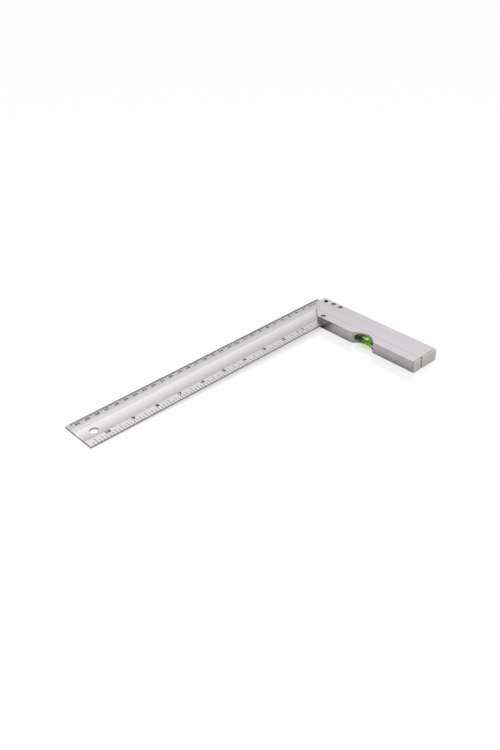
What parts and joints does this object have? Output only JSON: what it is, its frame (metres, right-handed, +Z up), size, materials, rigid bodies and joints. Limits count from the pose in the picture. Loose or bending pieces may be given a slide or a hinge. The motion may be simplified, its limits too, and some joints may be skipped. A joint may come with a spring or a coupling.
{
  "type": "try and mitre square",
  "caption": "Flat L-shaped aluminium square: graduated ruler blade with hanging hole, pinned in a thick mitred stock with end caps and a built-in green spirit level.",
  "frame": {"origin": "centre of the base of the bounding box, on the plane of the stock's underside", "axes": "+Z up with the square lying flat, +X along the blade from its tip to the stock's outer face, +Y along the stock from its tail to its head"},
  "size_m": [0.3062, 0.1514, 0.0118],
  "materials": {
    "stock_aluminium": "satin anodised extrusion",
    "blade_aluminium": "satin anodised extrusion with printed black scales",
    "scale_black": "printed ink",
    "pin_steel": "dull, cut rod",
    "cap_plastic": "moulded, silver grey",
    "clear_acrylic": "polished",
    "plug_plastic": "moulded",
    "level_liquid": "clear green liquid",
    "air_bubble": "clear",
    "ring_black": "black line"
  },
  "bodies": {
    "square": {"stock_body": "stock_aluminium", "blade": "blade_aluminium", "pin_head": "pin_steel", "pin_heel": "pin_steel", "pin_inner": "pin_steel", "cap_narrow": "cap_plastic", "cap_wide": "cap_plastic", "vial_barrel": "clear_acrylic", "vial_plug": "plug_plastic", "vial_liquid": "level_liquid", "vial_ring_head": "ring_black", "vial_ring_tail": "ring_black"},
    "bubble": {"vial_bubble": "air_bubble"}
  },
  "joints": [
    {"name": "bubble_travel", "type": "slide", "parent": "square", "child": "bubble", "axis": [0, 1, 0], "range_m": [-0.0032, 0.0032]}
  ]
}
